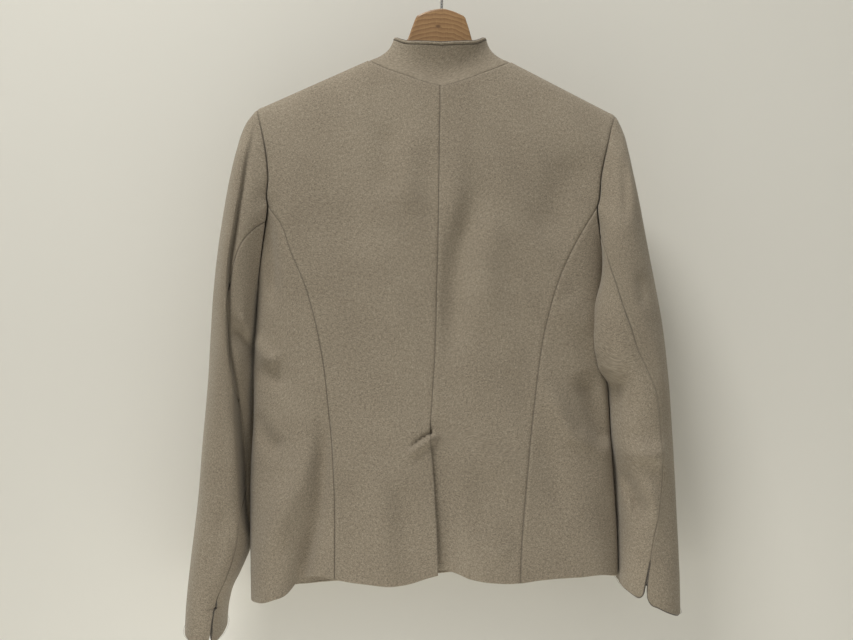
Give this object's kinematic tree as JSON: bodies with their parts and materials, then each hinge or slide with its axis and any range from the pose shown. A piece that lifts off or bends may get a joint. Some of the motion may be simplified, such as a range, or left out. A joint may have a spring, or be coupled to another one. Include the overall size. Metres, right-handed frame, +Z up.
{
  "type": "wool jacket on a wooden clothes hanger",
  "caption": "Short fitted wool jacket with a piped stand collar, princess seams, back vent and slit cuffs, hung on a wooden hanger with a wire hook.",
  "frame": {"origin": "Inner top of the hanger's hook, where a rail carries it", "axes": "+Z up; the jacket's back faces -Y and its front +Y; +X is the wearer's right and runs along the hanger's arms"},
  "size_m": [0.5854, 0.1185, 0.8133],
  "materials": {
    "wool": "soft melange woven wool, matt with a light nap",
    "braid": "dark twisted piping cord",
    "horn": "dull polished horn-like buttons",
    "beech": "varnished warm brown wood with an arched grain",
    "steel": "bright plated wire"
  },
  "bodies": {
    "root": {"back_left": "wool", "back_right": "wool", "side_back_left": "wool", "side_back_right": "wool", "front_left": "wool", "front_right": "wool", "collar": "wool", "sleeve_upper_left": "wool", "sleeve_under_left": "wool", "sleeve_upper_right": "wool", "sleeve_under_right": "wool", "collar_piping": "braid", "cuff_piping_upper_left": "braid", "cuff_piping_under_left": "braid", "cuff_piping_upper_right": "braid", "cuff_piping_under_right": "braid", "button_1": "horn", "button_2": "horn", "button_3": "horn", "button_4": "horn", "button_5": "horn", "hanger_wood": "beech", "hanger_hook": "steel"}
  },
  "joints": []
}
